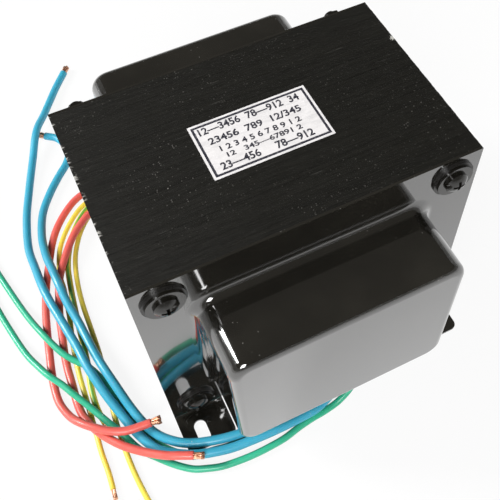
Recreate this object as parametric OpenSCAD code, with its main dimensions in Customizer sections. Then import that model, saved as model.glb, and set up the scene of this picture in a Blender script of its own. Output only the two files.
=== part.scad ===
// Laminated chassis transformer: an interleaved E and I core with one coil on
// its centre leg, clamped by four bolts between two drawn steel covers with
// bent feet. Nine flexible leads leave through two rubber grommets.
// Millimetres. +X runs to the right, +Y to the rear, +Z up. The origin is on the
// plane of the feet, below the middle of the part.

/* [Core] */
// Width of the core: six units of the lamination's outline
core_w = 133.2; // [120:0.6:150]
// Thickness of the stack of laminations, front to rear
stack_t = 83; // [60:1:110]
// Packets in the stack, turned end for end by turns
packet_count = 20; // [10:2:30]
// How far the I bars stand back behind the E yokes
bar_setback = 0.15; // [0.05:0.05:0.4]
// Height of the core's underside above the plane of the feet
core_lift = 1; // [0.5:0.1:3]

/* [Covers] */
// Thickness of the cover's steel sheet
sheet_t = 1; // [0.8:0.1:1.5]
// Depth of the front bell, from its flange
front_bell_depth = 30; // [27:0.5:40]
// Depth of the rear bell, from its flange
rear_bell_depth = 33; // [27:0.5:40]
// Gap between the lamination windows' outer edges and the bell's side walls
bell_gap_side = 0.6; // [0.4:0.1:2]
// Gap between the lamination windows' ends and the bell's top and bottom walls
bell_gap_end = 1.7; // [1.5:0.1:4]
// Corner radius of the bell, seen from the front
bell_corner_r = 8; // [7.5:0.1:10]
// Radius between the bell's walls and its face
bell_edge_r = 3.5; // [2:0.5:7.4]
// Radius of the fillet between the bell and its flange
bell_root_r = 4; // [1:0.1:4.2]

/* [Feet] */
// Width of each foot
foot_w = 22; // [16:0.5:30]
// Reach of each foot in front of its flange
foot_reach = 18; // [17:0.5:24]
// Radius of a foot's free corners
foot_corner_r = 3; // [0.5:0.5:5]
// Inside radius of the bend between flange and foot
foot_bend_r = 1.5; // [1:0.1:3]
// Width of a mounting slot
slot_w = 5.4; // [4.5:0.1:6.5]
// Length of a mounting slot, end to end
slot_l = 10.4; // [8:0.1:11]
// Distance of a slot's middle from the core's side
slot_inset = 8.5; // [6:0.1:11]
// Distance of a slot's middle from the flange
slot_reach = 10.8; // [9:0.1:11]

/* [Bobbin] */
// Gap between the bobbin and the centre leg
bobbin_gap = 0.3; // [0.2:0.05:0.6]
// Wall of the bobbin's tube and end flanges
bobbin_wall = 1.6; // [1:0.1:2.5]
// Outer corner radius of the bobbin's tube
bobbin_corner_r = 2; // [1:0.5:3]
// Gap between the bobbin's flanges and the side legs
window_gap_side = 1.4; // [1.2:0.1:3]
// Gap between the bobbin's flanges and the yokes
window_gap_end = 0.9; // [0.6:0.1:2]
// Gap between the windings' ends and the bobbin's flanges
winding_end_gap = 0.3; // [0.1:0.1:1]

/* [Windings] */
// Build of the primary winding
primary_t = 5.6; // [4:0.1:6]
// Build of the low-voltage auxiliary winding
auxiliary_t = 1.8; // [1:0.1:2.2]
// Build of the first secondary winding
secondary_a_t = 4; // [2:0.1:4.4]
// Thickness of the screen foil
screen_t = 0.2; // [0.1:0.05:0.4]
// Width of the slit that keeps the screen foil from closing on itself
screen_slit = 4; // [2:1:10]
// Thickness of the insulation between windings
insulation_t = 0.5; // [0.3:0.05:0.6]
// Thickness of the wrap round the finished coil
wrap_t = 0.7; // [0.4:0.1:0.9]
// Gap between one layer of the coil and the next
layer_gap = 0.05; // [0.02:0.01:0.1]
// How far the wrap stands back from the edges of the bobbin's flanges
wrap_inset = 0.7; // [0.3:0.1:1]

/* [Fasteners] */
// Diameter of the clamping bolts
bolt_d = 5; // [4:0.5:6]
// Distance of the bolts from the core's top and bottom edges
bolt_edge = 10.2; // [9:0.1:12]
// Gap between a bolt and what it passes through
bolt_gap = 0.1; // [0.05:0.05:0.3]
// Wall of the insulating sleeve round each bolt
sleeve_wall = 0.6; // [0.4:0.1:0.8]
// Gap between a sleeve and the holes that it passes through
sleeve_gap = 0.2; // [0.1:0.05:0.4]
// Diameter of the round bolt heads
head_d = 9; // [8:0.1:10]
// Height of the bolt heads, up to the top of their crown
head_h = 3; // [2.6:0.1:4]
// Height of the straight rim below a head's crown
head_rim = 1; // [0.6:0.1:1.4]
// Depth of the cross recess in a bolt head
recess_depth = 1.7; // [1:0.1:2]
// Length of each arm of the cross recess, tip to tip
recess_l = 4.8; // [4:0.1:6]
// Width of each arm of the cross recess
recess_w = 1.1; // [0.8:0.1:1.6]
// Width of the nuts, across their flats
nut_flats = 8; // [7.5:0.1:9]
// Diameter of the fibre washers
fibre_d = 16.4; // [14:0.1:17]
// Thickness of the fibre washers
fibre_t = 1; // [0.5:0.1:1.2]
// Diameter of the flat steel washers
washer_d = 14.4; // [12:0.1:15]
// Thickness of the flat steel washers
washer_t = 1.2; // [0.8:0.1:1.6]
// Diameter of the spring washers
spring_washer_d = 8.8; // [8:0.1:10]
// Thickness of the spring washers
spring_washer_t = 1.2; // [1:0.1:2]
// Slit of the spring washers
spring_slit = 1; // [0.5:0.1:2]
// Height of the nuts
nut_h = 4; // [3:0.1:5]
// How far the bolts stand out of their nuts
bolt_tail = 2; // [1:0.5:4]

/* [Lead outlets] */
// Distance of an outlet's middle from the part's middle, along the core's width
outlet_side = 12; // [8:0.5:16]
// Distance of an outlet's middle from the outside of its flange
outlet_out = 13; // [12.8:0.1:16]
// Width of an outlet's bore
outlet_w = 8; // [7.8:0.1:8.6]
// Length of an outlet's bore
outlet_l = 13; // [12.8:0.1:13.6]
// Wall of the grommets round the bore
grommet_wall = 1.2; // [0.8:0.1:1.4]
// How far a grommet's lips stand out past its neck
grommet_lip = 1; // [0.5:0.1:1.2]
// Thickness of a grommet's lips
grommet_lip_t = 1.2; // [0.8:0.1:1.3]
// Gap between a grommet and the hole that it sits in
grommet_gap = 0.1; // [0.05:0.05:0.3]

/* [Label] */
// Width of the rating label
label_w = 47; // [30:1:60]
// Depth of the rating label
label_l = 26; // [18:1:40]
// Thickness of the rating label
label_t = 0.2; // [0.1:0.05:0.5]

/* [Leads] */
// Outer diameter of the two blue leads
blue_d = 4; // [3.6:0.1:4]
// Outer diameter of the two red leads
red_d = 3.6; // [3.2:0.1:3.6]
// Outer diameter of the two green leads
green_d = 3; // [2.6:0.1:3]
// Outer diameter of the earth lead
earth_d = 2.8; // [2.4:0.1:2.8]
// Outer diameter of the two yellow leads
yellow_d = 2.4; // [2:0.1:2.4]
// Bared conductor at the end of a lead
bare_l = 4; // [2:0.5:8]
// Share of a lead's diameter that is conductor
conductor_share = 0.6; // [0.5:0.05:0.7]

/* [Hidden] */
$fn = 64;
// How far a cutting tool runs past the faces that it cuts
past = 1;

// Core: six units wide, five high, the window of each half a unit by three
lam_unit = core_w / 6;
core_h = 5 * lam_unit;
core_mid_z = core_lift + core_h / 2;
core_top = core_lift + core_h;
window_h = 3 * lam_unit;
packet_t = stack_t / packet_count;
// The core sits off the middle by half the difference of the two bells
core_y = (front_bell_depth - rear_bell_depth) / 2;
bolt_x = core_w / 2 - lam_unit / 2;
bolt_z = core_h / 2 - bolt_edge;

// Bells: they cover the coil, so the windows set their outline
bell_w = 4 * lam_unit + 2 * (bell_gap_side + sheet_t);
bell_h = window_h + 2 * (bell_gap_end + sheet_t);
bell_bottom = core_mid_z - bell_h / 2;

// Coil: each layer starts where the last one ends
tube_x = lam_unit + bobbin_gap + bobbin_wall;
tube_y = stack_t / 2 + bobbin_gap + bobbin_wall;
flange_x = 2 * lam_unit - window_gap_side;
flange_y = tube_y + flange_x - tube_x;
bobbin_h = window_h - 2 * window_gap_end;
winding_h = bobbin_h - 2 * (bobbin_wall + winding_end_gap);
winding_bottom = core_mid_z - winding_h / 2;
primary_at = layer_gap;
insulation_1_at = primary_at + primary_t + layer_gap;
screen_at = insulation_1_at + insulation_t + layer_gap;
insulation_2_at = screen_at + screen_t + layer_gap;
auxiliary_at = insulation_2_at + insulation_t + layer_gap;
insulation_3_at = auxiliary_at + auxiliary_t + layer_gap;
secondary_a_at = insulation_3_at + insulation_t + layer_gap;
insulation_4_at = secondary_a_at + secondary_a_t + layer_gap;
secondary_b_at = insulation_4_at + insulation_t + layer_gap;
wrap_at = flange_x - tube_x - wrap_inset - wrap_t;
secondary_b_t = wrap_at - layer_gap - secondary_b_at;

// Fasteners: a bolt in a sleeve, with its washers, and a nut behind
sleeve_bore = bolt_d + 2 * bolt_gap;
sleeve_d = sleeve_bore + 2 * sleeve_wall;
clamp_hole_d = sleeve_d + 2 * sleeve_gap;
washer_bore = bolt_d + 2 * bolt_gap;
cover_face = stack_t / 2 + sheet_t;
fibre_face = cover_face + fibre_t;
washer_face = fibre_face + washer_t;
spring_face = washer_face + spring_washer_t;
nut_face = spring_face + nut_h;
hex_chamfer = 0.6;
crown_h = head_h - head_rim;
crown_r = (head_d * head_d / 4 + crown_h * crown_h) / (2 * crown_h);

// Outlets: in the flat part of each bell's bottom wall
outlet_reach = sheet_t + outlet_out;

// Leads: each goes straight down from the windings through its outlet, and then
// along points of its centre line, which follow the size of the core
lead_sides = 8;
front_outlet = [outlet_side, core_y - stack_t / 2 - outlet_reach];
rear_outlet = [-outlet_side, core_y + stack_t / 2 + outlet_reach];
foot_front = core_y - cover_face - foot_reach;
foot_rear = core_y + cover_face + foot_reach;
blue_a_route = route(front_outlet, [1.4, -0.3], [
    [12.5, -58.5, 13.4], [9.5, -61, 8.9], [3.5, -64, 6.7], [-4, -67, 5.5],
    [-11, -69, 4.9], [-21, -69.5, 4.8], [-31, -69.5, 4.8], [-41, -69, 4.8],
    [-51, -68, 4.8], [-62.5, -65, 5.3], [-70.5, -61, 5.3], [-77.5, -55.5, 4.8],
    [-81.5, -49, 4.8], [-84.5, -41.5, 4.9], [-87, -33, 5.5], [-89.5, -24, 7.2],
    [-91.5, -15, 8.2], [-93, -6.5, 8.6], [-94, 3, 8], [-95.5, 12.5, 6.8], [-97, 22, 6.3],
    [-98.5, 31, 6.3], [-99.5, 41, 6.3], [-100, 54, 4.1], [-100, 68, 2.3], [-96, 86, 2.1],
    [-90, 103, 2.1], [-82.5, 121, 3.5], [-75.5, 136, 6.3], [-68, 149, 3.6],
    [-57, 166, 2.1], [-49, 176, 2.1]
]);
blue_b_route = route(front_outlet, [0, 4.3], [
    [11, -53, 13.2], [7, -54, 8.9], [0.5, -56.5, 6.6], [-7, -59.5, 5.4], [-15, -62, 4.9],
    [-27, -64, 4.8], [-39.5, -64.5, 4.8], [-49, -63.5, 4.8], [-58.5, -61, 4.8],
    [-66, -58, 4.8], [-72, -53.5, 4.8], [-76.5, -48, 4.8], [-80, -40, 4.8],
    [-82.5, -31, 5.5], [-84.5, -21.5, 7.1], [-86.5, -11.5, 7.6], [-88, -2, 6.2],
    [-89, 7.5, 5.5], [-90, 17, 5.7], [-91.5, 28, 7.1], [-92, 38, 8.8], [-92.5, 47.5, 8.1],
    [-93, 57, 6.6], [-92, 70, 4.3], [-88, 84.5, 2.3], [-81.5, 95, 2.1], [-74, 104, 2.1],
    [-67, 111.5, 2.1], [-63.5, 120, 2.1], [-66.5, 129.5, 2.1], [-72, 134.5, 2.1]
]);
green_a_route = route(front_outlet, [-2.2, 1], [
    [8.5, -57, 12.8], [5, -59, 6.9], [-0.5, -61.5, 3.2], [-6, -63.5, 1.9],
    [-12, -65, 1.6], [-20, -66.5, 1.6], [-30, -67, 1.6], [-40, -66.5, 1.6],
    [-50, -66, 1.6], [-58, -64.5, 1.6], [-63.5, -64, 1.6], [-67.5, -62, 1.6],
    [-71.5, -58.5, 1.6], [-75.5, -54, 1.6], [-79.5, -48, 1.6], [-82.5, -41, 1.6],
    [-84.5, -33, 2], [-86, -27.5, 3.1], [-87, -22, 4.2], [-88.5, -16.5, 4.6],
    [-90.5, -11, 4.7], [-93, -6, 4.8], [-96.5, -2, 4.9], [-100.5, 3.5, 5.5],
    [-103.5, 10, 5.5], [-106.5, 18, 5.5], [-110, 29, 3.5], [-113, 41, 1.9],
    [-117, 59.5, 1.6], [-120.5, 78, 1.6], [-122.5, 96, 1.6], [-121.5, 113, 1.6]
]);
green_b_route = route(front_outlet, [-0.5, -4], [
    [11, -64, 14], [7.5, -67.5, 8], [0.5, -69.5, 3], [-7, -70.5, 1.6], [-13.5, -71, 1.6],
    [-20.5, -72, 1.6], [-28, -73.5, 1.6], [-36, -74, 1.6], [-43, -74, 1.6],
    [-49.5, -73.5, 1.6], [-56.5, -72.5, 1.6], [-62.5, -70.5, 1.6], [-68, -68, 1.6],
    [-74, -63, 1.6], [-80, -56.5, 1.6], [-85, -50.5, 2], [-88, -44.5, 3.6],
    [-90, -40, 4.4], [-92.5, -35.5, 4.8], [-95, -30.5, 4.9], [-98.5, -23.5, 5.2],
    [-102, -17, 5.6], [-105.5, -10, 5.6], [-109.5, -3.5, 5.6], [-112.5, 3, 4.7],
    [-116, 12, 2.9], [-119, 24, 1.7], [-122.5, 42, 1.6], [-125.5, 62, 1.6],
    [-127.5, 82, 1.6], [-128, 101, 1.6]
]);
red_a_route = route(rear_outlet, [0, 4.3], [
    [-12, 60, 13], [-14, 66, 7], [-20, 74, 2.7], [-29.5, 81.5, 1.9], [-41, 86.5, 1.9],
    [-52, 89, 1.9], [-62, 88.5, 1.9], [-69.5, 86.5, 1.9], [-76.5, 81.5, 1.9],
    [-83.5, 74, 1.9], [-88.5, 66, 1.9], [-93, 56, 1.9], [-98, 44, 1.9], [-102, 31.5, 1.9],
    [-105, 18.5, 1.9], [-107, 8, 1.9], [-108.5, 0, 1.9], [-109.5, -8, 1.9],
    [-109.5, -16, 2.1], [-107, -24.5, 4.4], [-103.5, -30.5, 7.4], [-98.5, -36, 8.9],
    [-93.5, -40, 8.9], [-87.5, -43, 8.9], [-81.5, -44, 8.9], [-76.5, -44.5, 8.9]
]);
red_b_route = route(rear_outlet, [0, -4.3], [
    [-13, 50.5, 13], [-17.5, 54, 6.5], [-26, 60, 2.6], [-37, 66.5, 1.9], [-48, 71, 1.9],
    [-58, 73, 2.7], [-66, 72.5, 4.7], [-71.5, 69, 5], [-77.5, 63.5, 5], [-83.5, 55.5, 5],
    [-89.5, 46, 4.6], [-92.5, 39, 4.6], [-95, 32, 3.1], [-97.5, 23.5, 1.9],
    [-99, 15, 1.9], [-100.5, 7, 1.9], [-101.5, -1, 1.9], [-102, -10, 1.9],
    [-102.5, -19, 2], [-102, -26, 3.3], [-100.5, -30.5, 4.4], [-98.5, -36, 4.9],
    [-95, -41.5, 4.9], [-90, -48, 6], [-83, -54.5, 7], [-76, -60, 8.6], [-70.5, -63, 9.3],
    [-65.5, -65.5, 9.5]
]);
yellow_a_route = route(rear_outlet, [2.4, 1.7], [
    [-10, 56.5, 13], [-12.5, 61.5, 6.2], [-19.5, 68.5, 1.8], [-28, 75, 1.3],
    [-38.5, 80.5, 1.3], [-50, 83.5, 1.3], [-60, 84, 1.3], [-68.5, 81, 1.3],
    [-75.5, 75.5, 1.3], [-82, 68, 1.3], [-87, 59.5, 1.3], [-90.5, 47.5, 1.3],
    [-91, 39, 1.3], [-92, 31, 1.3], [-93.5, 21, 1.3], [-95.5, 11, 1.3], [-97, 1, 1.3],
    [-98, -9, 1.3], [-98.5, -19, 1.3], [-99, -28, 1.3], [-99.5, -37, 1.3],
    [-100, -45, 1.3], [-100, -53.5, 1.3], [-100.5, -61, 1.3]
]);
yellow_b_route = route(rear_outlet, [-2.2, 0.8], [
    [-15.5, 56, 13], [-20, 60, 6], [-28.5, 66, 1.9], [-39, 71.5, 1.3], [-50, 75.5, 1.3],
    [-60, 76.5, 1.3], [-66.5, 74, 1.3], [-73, 67.5, 1.3], [-78, 59.5, 1.3],
    [-81.5, 51, 1.3], [-84, 40, 1.3], [-85.5, 27, 1.3], [-86, 11.5, 1.3],
    [-86.5, -1.5, 1.3], [-88, -17, 1.3], [-90, -33.5, 1.3], [-90.5, -46.5, 1.3],
    [-90.5, -54.5, 1.3], [-90, -63, 1.3], [-89, -72, 1.3], [-87.5, -82, 1.3]
]);
earth_route = route(rear_outlet, [2, -1.5], [
    [-10.5, 53.5, 13], [-14, 58, 6.5], [-21, 65, 2], [-30, 71.5, 1.5], [-40, 76, 1.5],
    [-50, 79, 1.5], [-60, 80, 1.5], [-67, 78, 1.5], [-75, 70.5, 1.5], [-81, 61, 1.5],
    [-85.5, 50, 1.5], [-88, 37, 1.5], [-90, 22, 1.5], [-91.5, 8, 1.5], [-93, -5, 1.5],
    [-95, -16, 1.5], [-95.5, -26, 1.5], [-94.5, -33, 1.5]
]);

// A laid point, given for a core 133.2 wide whose feet end at -62 and 59
function laid(p) = [
    p.x - lookup(-p.x, [[0, 0], [66.6, core_w / 2 - 66.6]]),
    p.y + lookup(p.y, [[-62, foot_front + 62], [59, foot_rear - 59]]),
    p.z
];

// A lead's centre line: down at its place in the outlet, then over the laid points
function route(outlet, place, points) = concat(
    [for (z = [winding_bottom, bell_bottom - sheet_t / 2])
        [outlet.x + place.x, outlet.y + place.y, z]],
    [for (p = points) laid(p)]);

function unit(v) = v / norm(v);

// Which way a route runs at one of its points
function heading(points, i) =
    i == 0 ? unit(points[1] - points[0])
    : i == len(points) - 1 ? unit(points[i] - points[i - 1])
    : unit(unit(points[i + 1] - points[i]) + unit(points[i] - points[i - 1]));

// A direction square to the route at every point, carried along without twist
function sideways(points, i = 0, last = [1, 0, 0]) =
    i == len(points) ? [] :
    let (h = heading(points, i), s = unit(last - (last * h) * h))
    concat([s], sideways(points, i + 1, s));

// Places the core's own frame: X across, Y to the rear, Z up from its middle
module at_core() {
    translate([0, core_y, core_mid_z])
        children();
}

// Repeats its children at the four clamping bolts, which run along Y
module at_bolts() {
    for (x = [-bolt_x, bolt_x], z = [-bolt_z, bolt_z])
        translate([x, 0, z])
            children();
}

// Turns a shape that stands on the XY plane to stand on a plane that faces -Y
module facing_front(distance) {
    translate([0, -distance, 0])
        rotate([90, 0, 0])
            children();
}

// The same on the rear side, facing +Y
module facing_rear(distance) {
    translate([0, distance, 0])
        rotate([-90, 0, 0])
            children();
}

// A flat ring
module ring_2d(outer_r, inner_r) {
    difference() {
        circle(r = outer_r);
        circle(r = inner_r);
    }
}

// A rectangle with round corners, about the origin
module rounded_2d(w, h, r) {
    square([w - 2 * r, h], center = true);
    square([w, h - 2 * r], center = true);
    for (x = [-1, 1], y = [-1, 1])
        translate([x * (w / 2 - r), y * (h / 2 - r)])
            circle(r = r);
}

// A slot with round ends whose length runs along Y
module slot_2d(w, l) {
    square([w, l - w], center = true);
    for (y = [-1, 1])
        translate([0, y * (l - w) / 2])
            circle(d = w);
}

// Section of a drawn bell: root fillet, wall, turned edge and a strip of the face.
// X runs outwards from the axis of the bell's corner, Y away from the core.
module bell_section(depth) {
    wall_h = depth - bell_root_r - bell_edge_r;
    translate([bell_corner_r - sheet_t, sheet_t + bell_root_r])
        square([sheet_t, wall_h]);
    translate([bell_corner_r + bell_root_r, sheet_t + bell_root_r])
        intersection() {
            ring_2d(bell_root_r + sheet_t, bell_root_r);
            translate([-2 * bell_root_r - sheet_t, -2 * bell_root_r - sheet_t])
                square(2 * bell_root_r + sheet_t);
        }
    translate([bell_corner_r - bell_edge_r, sheet_t + depth - bell_edge_r])
        intersection() {
            ring_2d(bell_edge_r, bell_edge_r - sheet_t);
            square(bell_edge_r);
        }
    translate([0, depth])
        square([bell_corner_r - bell_edge_r, sheet_t]);
}

// A bell: its section carried round the rounded outline, closed by a flat face
module bell(depth) {
    half = [bell_w / 2 - bell_corner_r, bell_h / 2 - bell_corner_r];
    for (quarter = [0:3])
        rotate(90 * quarter) {
            a = half[quarter % 2];
            b = half[(quarter + 1) % 2];
            translate([a, b, 0])
                rotate_extrude(angle = 90)
                    bell_section(depth);
            translate([a, b, 0])
                rotate([90, 0, 0])
                    linear_extrude(2 * b)
                        bell_section(depth);
        }
    translate([-half[0], -half[1], depth])
        cube([2 * half[0], 2 * half[1], sheet_t]);
}

// Flange: a plate over the core's face, open behind the bell
module flange() {
    linear_extrude(sheet_t)
        difference() {
            square([core_w, core_h], center = true);
            rounded_2d(bell_w + 2 * bell_root_r, bell_h + 2 * bell_root_r,
                       bell_corner_r + bell_root_r);
            for (x = [-bolt_x, bolt_x], y = [-bolt_z, bolt_z])
                translate([x, y])
                    circle(d = clamp_hole_d);
        }
}

// Foot: the flange's lower corner, bent forwards on the plane of the feet
module foot() {
    foot_plane = -core_h / 2 - core_lift;
    bend_from = sheet_t + foot_bend_r;
    plate_l = foot_reach - foot_bend_r;
    translate([foot_w / 2, 0, 0])
        rotate([0, -90, 0])
            linear_extrude(foot_w) {
                translate([0, foot_plane + bend_from])
                    square([sheet_t, core_lift + foot_bend_r + sheet_t]);
                translate([bend_from, foot_plane + bend_from])
                    intersection() {
                        ring_2d(bend_from, foot_bend_r);
                        translate([-2 * bend_from, -2 * bend_from])
                            square(2 * bend_from);
                    }
            }
    translate([0, foot_plane, bend_from])
        rotate([-90, 0, 0])
            mirror([0, 1, 0])
                linear_extrude(sheet_t) {
                    translate([-foot_w / 2, 0])
                        square([foot_w, plate_l - foot_corner_r]);
                    translate([-foot_w / 2 + foot_corner_r, 0])
                        square([foot_w - 2 * foot_corner_r, plate_l]);
                    for (x = [-1, 1])
                        translate([x * (foot_w / 2 - foot_corner_r), plate_l - foot_corner_r])
                            circle(r = foot_corner_r);
                }
}

// One drawn cover, on the core's face and facing +Z: flange, bell and two feet
module cover(depth) {
    foot_x = core_w / 2 - foot_w / 2;
    slot_x = core_w / 2 - slot_inset;
    difference() {
        union() {
            flange();
            bell(depth);
            for (x = [-foot_x, foot_x])
                translate([x, 0, 0])
                    foot();
        }
        for (x = [-slot_x, slot_x])
            translate([x, -core_h / 2 - core_lift - past, sheet_t + slot_reach])
                rotate([-90, 0, 0])
                    linear_extrude(sheet_t + 2 * past)
                        slot_2d(slot_w, slot_l);
        translate([outlet_side, -bell_h / 2 - past, outlet_reach])
            rotate([-90, 0, 0])
                linear_extrude(sheet_t + 2 * past)
                    slot_2d(outlet_w + 2 * (grommet_wall + grommet_gap),
                            outlet_l + 2 * (grommet_wall + grommet_gap));
    }
}

module front_cover() {
    color([0.05, 0.05, 0.06])
        at_core()
            facing_front(stack_t / 2)
                cover(front_bell_depth);
}

module rear_cover() {
    color([0.05, 0.05, 0.06])
        at_core()
            rotate(180)
                facing_front(stack_t / 2)
                    cover(rear_bell_depth);
}

// E stamping: a yoke on top and three legs, the middle one two units wide
module e_outline() {
    side = core_w / 2;
    yoke = window_h / 2;
    difference() {
        translate([-side, -yoke])
            square([core_w, core_h / 2 + yoke]);
        for (x = [-2 * lam_unit, lam_unit])
            translate([x, -yoke - past])
                square([lam_unit, window_h + past]);
        for (x = [-bolt_x, bolt_x])
            translate([x, bolt_z])
                circle(d = clamp_hole_d);
    }
}

// I stamping: the bar that closes the E, a little short all round
module i_outline() {
    difference() {
        translate([-core_w / 2 + bar_setback, -core_h / 2 + bar_setback])
            square([core_w - 2 * bar_setback, lam_unit - bar_setback]);
        for (x = [-bolt_x, bolt_x])
            translate([x, -bolt_z])
                circle(d = clamp_hole_d);
    }
}

// Every packet of one stamping, each turned end for end against the last
module packets() {
    at_core()
        for (i = [0:packet_count - 1])
            facing_front(stack_t / 2 - (i + 1) * packet_t)
                rotate(180 * (i % 2))
                    linear_extrude(packet_t)
                        children();
}

module e_lamination_packets() {
    color([0.13, 0.12, 0.11])
        packets()
            e_outline();
}

module i_lamination_packets() {
    color([0.16, 0.15, 0.14])
        packets()
            i_outline();
}

// A layer of the coil, which starts so far from the bobbin's tube
module coil_layer(from, thickness) {
    translate([0, 0, -winding_h / 2])
        linear_extrude(winding_h)
            difference() {
                layer_outline(from + thickness);
                layer_outline(from);
            }
}

module layer_outline(distance) {
    rounded_2d(2 * (tube_x + distance), 2 * (tube_y + distance), bobbin_corner_r + distance);
}

// Bobbin: a tube on the centre leg between two flanges, the lower one notched
// where the leads go down to the outlets
module bobbin() {
    notch_w = outlet_w + 1;
    notch_from = stack_t / 2 + outlet_reach - outlet_l / 2 - 0.5;
    color([0.16, 0.13, 0.10])
        at_core()
            difference() {
                union() {
                    translate([0, 0, -bobbin_h / 2])
                        linear_extrude(bobbin_h)
                            layer_outline(0);
                    for (z = [-bobbin_h / 2, bobbin_h / 2 - bobbin_wall])
                        translate([0, 0, z])
                            linear_extrude(bobbin_wall)
                                rounded_2d(2 * flange_x, 2 * flange_y, bobbin_corner_r);
                }
                cube([2 * (lam_unit + bobbin_gap), stack_t + 2 * bobbin_gap, bobbin_h + 2 * past],
                     center = true);
                for (turn = [0, 180])
                    rotate(turn)
                        translate([outlet_side - notch_w / 2, -flange_y - past,
                                   -bobbin_h / 2 - past])
                            cube([notch_w, flange_y + past - notch_from,
                                  bobbin_wall + past + winding_end_gap / 2]);
            }
}

module primary_winding() {
    color([0.62, 0.30, 0.12])
        at_core()
            coil_layer(primary_at, primary_t);
}

// Screen: one turn of foil, slit on the rear side so that it isn't a closed turn
module screen_foil() {
    color([0.80, 0.45, 0.25])
        at_core()
            difference() {
                coil_layer(screen_at, screen_t);
                translate([-screen_slit / 2, tube_y, -winding_h / 2 - past])
                    cube([screen_slit, flange_y - tube_y, winding_h + 2 * past]);
            }
}

module auxiliary_winding() {
    color([0.68, 0.34, 0.14])
        at_core()
            coil_layer(auxiliary_at, auxiliary_t);
}

module secondary_winding_a() {
    color([0.66, 0.32, 0.13])
        at_core()
            coil_layer(secondary_a_at, secondary_a_t);
}

module secondary_winding_b() {
    color([0.70, 0.35, 0.15])
        at_core()
            coil_layer(secondary_b_at, secondary_b_t);
}

module layer_insulation() {
    color([0.85, 0.75, 0.45])
        at_core()
            for (from = [insulation_1_at, insulation_2_at, insulation_3_at, insulation_4_at])
                coil_layer(from, insulation_t);
}

module outer_wrap() {
    color([0.80, 0.66, 0.30])
        at_core()
            coil_layer(wrap_at, wrap_t);
}

// A hexagon with turned corners on both sides
module hexagon(h) {
    corner_r = nut_flats / 2 / cos(30);
    turned_r = corner_r - hex_chamfer;
    intersection() {
        cylinder(r = corner_r, h = h, $fn = 6);
        rotate_extrude()
            polygon([
                [0, 0], [turned_r, 0], [corner_r, hex_chamfer / 2],
                [corner_r, h - hex_chamfer / 2], [turned_r, h], [0, h]]);
    }
}

// A pan head: a straight rim with a round crown
module pan_head() {
    rotate_extrude()
        intersection() {
            square([head_d / 2, head_h]);
            translate([0, head_h - crown_r])
                circle(crown_r);
        }
}

// Clamping bolt along +Z from under its head, which has a cross recess
module clamp_bolt() {
    grip = washer_face + nut_face + bolt_tail;
    difference() {
        union() {
            pan_head();
            translate([0, 0, -grip])
                cylinder(d = bolt_d, h = grip + head_h / 2);
        }
        for (turn = [0, 90])
            rotate(turn)
                translate([-recess_l / 2, -recess_w / 2, head_h - recess_depth])
                    cube([recess_l, recess_w, recess_depth + past]);
    }
}

module clamp_bolts() {
    color([0.10, 0.10, 0.10])
        at_core()
            at_bolts()
                facing_front(washer_face)
                    clamp_bolt();
}

module tube(outer_d, bore_d, h) {
    linear_extrude(h)
        ring_2d(outer_d / 2, bore_d / 2);
}

module bolt_sleeves() {
    color([0.75, 0.60, 0.35])
        at_core()
            at_bolts()
                facing_front(-cover_face)
                    tube(sleeve_d, sleeve_bore, 2 * cover_face);
}

module fibre_washers() {
    color([0.12, 0.10, 0.09])
        at_core()
            at_bolts() {
                facing_front(cover_face)
                    tube(fibre_d, washer_bore, fibre_t);
                facing_rear(cover_face)
                    tube(fibre_d, washer_bore, fibre_t);
            }
}

module flat_washers() {
    color([0.10, 0.10, 0.10])
        at_core()
            at_bolts() {
                facing_front(fibre_face)
                    tube(washer_d, washer_bore, washer_t);
                facing_rear(fibre_face)
                    tube(washer_d, washer_bore, washer_t);
            }
}

module spring_washers() {
    color([0.12, 0.12, 0.12])
        at_core()
            at_bolts()
                facing_rear(washer_face)
                    difference() {
                        tube(spring_washer_d, washer_bore, spring_washer_t);
                        translate([0, -spring_slit / 2, -past])
                            cube([spring_washer_d, spring_slit, spring_washer_t + 2 * past]);
                    }
}

module hex_nuts() {
    color([0.10, 0.10, 0.10])
        at_core()
            at_bolts()
                facing_rear(spring_face)
                    difference() {
                        hexagon(nut_h);
                        translate([0, 0, -past])
                            cylinder(d = washer_bore, h = nut_h + 2 * past);
                    }
}

// Rubber grommet in the bottom wall of a bell: a neck between two lips
module grommet() {
    neck_w = outlet_w + 2 * grommet_wall;
    neck_l = outlet_l + 2 * grommet_wall;
    translate([outlet_side, -stack_t / 2 - outlet_reach, bell_bottom - core_mid_z])
        difference() {
            union() {
                linear_extrude(sheet_t)
                    slot_2d(neck_w, neck_l);
                for (z = [-grommet_lip_t, sheet_t])
                    translate([0, 0, z])
                        linear_extrude(grommet_lip_t)
                            slot_2d(neck_w + 2 * grommet_lip, neck_l + 2 * grommet_lip);
            }
            translate([0, 0, -grommet_lip_t - past])
                linear_extrude(sheet_t + 2 * grommet_lip_t + 2 * past)
                    slot_2d(outlet_w, outlet_l);
        }
}

module front_grommet() {
    color([0.08, 0.08, 0.08])
        at_core()
            grommet();
}

module rear_grommet() {
    color([0.08, 0.08, 0.08])
        at_core()
            rotate(180)
                grommet();
}

module rating_label() {
    color([0.92, 0.92, 0.90])
        translate([-label_w / 2, core_y - label_l / 2, core_top])
            cube([label_w, label_l, label_t]);
}

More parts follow.
